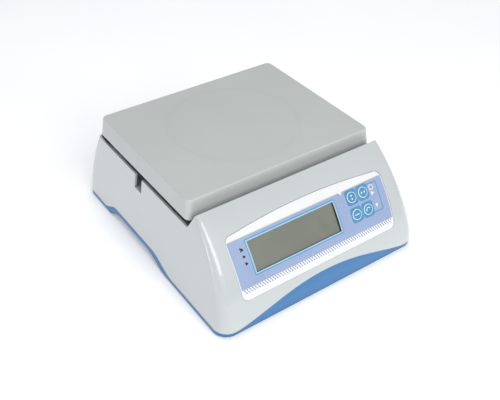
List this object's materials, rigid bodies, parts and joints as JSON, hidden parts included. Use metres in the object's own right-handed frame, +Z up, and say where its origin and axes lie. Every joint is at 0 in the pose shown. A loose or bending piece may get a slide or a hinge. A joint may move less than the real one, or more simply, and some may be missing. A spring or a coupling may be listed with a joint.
{
  "type": "counting scale",
  "caption": "Low bench counting scale: lift-off tray pan on a load cell, light case with curved keypad and display panel, blue base with finger arches and levelling feet.",
  "frame": {"origin": "on the floor, under the centre of the case", "axes": "+X to the operator's right, +Y away from the operator towards the back, +Z up; the display faces -Y and up"},
  "size_m": [0.3148, 0.3625, 0.1413],
  "materials": {
    "case_plastic": "light grey moulded ABS, satin",
    "base_plastic": "mid blue moulded ABS, satin",
    "pan_plastic": "light grey fine-textured plastic",
    "label_film": "printed polyester overlay, blue and white",
    "window_clear": "clear acrylic",
    "display_glass": "grey reflective liquid crystal panel",
    "black_plastic": "black moulded plastic",
    "key_plastic": "teal key caps with pale rings",
    "circuit_board": "green solder mask",
    "led_red": "tinted epoxy",
    "cast_metal": "as-cast aluminium",
    "machined_metal": "machined and clear anodised aluminium",
    "plated_steel": "zinc plated",
    "brass": "plain",
    "sealant": "white silicone",
    "rubber_black": "black rubber",
    "cable_black": "black cable jacket",
    "cable_grey": "grey ribbon cable",
    "cable_red": "red wire jacket",
    "battery_case": "dark grey battery case",
    "level_fluid": "clear vial of green fluid"
  },
  "bodies": {
    "root": {"upper_case": "case_plastic", "base_shell": "base_plastic", "front_label": "label_film", "display_window": "window_clear", "lcd_holder": "black_plastic", "lcd_panel": "display_glass", "display_board": "circuit_board", "display_board_screws": "plated_steel", "key_switches": "black_plastic", "power_led": "led_red", "display_ribbon": "cable_grey", "main_board": "circuit_board", "board_components": "black_plastic", "main_board_screws": "plated_steel", "chassis": "cast_metal", "chassis_screws": "plated_steel", "cell_spacer_lower": "plated_steel", "load_cell": "machined_metal", "gauge_cover": "sealant", "load_cell_bolts": "plated_steel", "overload_screw": "plated_steel", "overload_nut": "plated_steel", "load_cell_cable": "cable_black", "battery": "battery_case", "battery_terminals": "brass", "battery_strap": "plated_steel", "strap_screws": "plated_steel", "battery_leads": "cable_red", "power_inlet": "black_plastic", "inlet_pin": "plated_steel", "inlet_nut": "plated_steel", "switch_housing": "black_plastic", "power_leads": "cable_black", "level_vial": "level_fluid", "level_ring": "black_plastic", "case_screws": "plated_steel"},
    "platform": {"cell_spacer_upper": "plated_steel", "column_bolts": "plated_steel", "platform_column": "cast_metal", "platform_frame": "cast_metal", "platform_bolts": "plated_steel", "pan_pads": "rubber_black"},
    "pan": {"pan": "pan_plastic"},
    "key_upper_left": {"key_upper_left": "key_plastic"},
    "key_upper_right": {"key_upper_right": "key_plastic"},
    "key_lower_left": {"key_lower_left": "key_plastic"},
    "key_lower_right": {"key_lower_right": "key_plastic"},
    "foot_front_left": {"foot_front_left": "rubber_black", "stud_front_left": "plated_steel"},
    "foot_front_right": {"foot_front_right": "rubber_black", "stud_front_right": "plated_steel"},
    "foot_back_left": {"foot_back_left": "rubber_black", "stud_back_left": "plated_steel"},
    "foot_back_right": {"foot_back_right": "rubber_black", "stud_back_right": "plated_steel"},
    "switch_rocker": {"switch_rocker": "black_plastic"}
  },
  "joints": [
    {"name": "platform_sink", "type": "slide", "parent": "root", "child": "platform", "axis": [0, 0, 1], "range_m": [-0.0005, 0], "stiffness_N_per_m": 100000, "springref_m": 0.0003, "deforming": ["load_cell"]},
    {"name": "pan_lift", "type": "slide", "parent": "platform", "child": "pan", "axis": [0, 0, 1], "range_m": [0, 0.06]},
    {"name": "key_upper_left_press", "type": "slide", "parent": "root", "child": "key_upper_left", "axis": [0, 0.8192, -0.5736], "range_m": [0, 0.0005], "stiffness_N_per_m": 3000, "springref_m": -0.0004},
    {"name": "key_upper_right_press", "type": "slide", "parent": "root", "child": "key_upper_right", "axis": [0, 0.8192, -0.5736], "range_m": [0, 0.0005], "stiffness_N_per_m": 3000, "springref_m": -0.0004},
    {"name": "key_lower_left_press", "type": "slide", "parent": "root", "child": "key_lower_left", "axis": [0, 0.8192, -0.5736], "range_m": [0, 0.0005], "stiffness_N_per_m": 3000, "springref_m": -0.0004},
    {"name": "key_lower_right_press", "type": "slide", "parent": "root", "child": "key_lower_right", "axis": [0, 0.8192, -0.5736], "range_m": [0, 0.0005], "stiffness_N_per_m": 3000, "springref_m": -0.0004},
    {"name": "foot_front_left_screw", "type": "slide", "parent": "root", "child": "foot_front_left", "axis": [0, 0, -1], "range_m": [-0.003, 0.008]},
    {"name": "foot_front_right_screw", "type": "slide", "parent": "root", "child": "foot_front_right", "axis": [0, 0, -1], "range_m": [-0.003, 0.008]},
    {"name": "foot_back_left_screw", "type": "slide", "parent": "root", "child": "foot_back_left", "axis": [0, 0, -1], "range_m": [-0.003, 0.008]},
    {"name": "foot_back_right_screw", "type": "slide", "parent": "root", "child": "foot_back_right", "axis": [0, 0, -1], "range_m": [-0.003, 0.008]},
    {"name": "switch_rock", "type": "hinge", "parent": "root", "child": "switch_rocker", "pos_m": [0.095, 0.1665, 0.039], "axis": [0, 0, 1], "range_deg": [0, 18]}
  ]
}
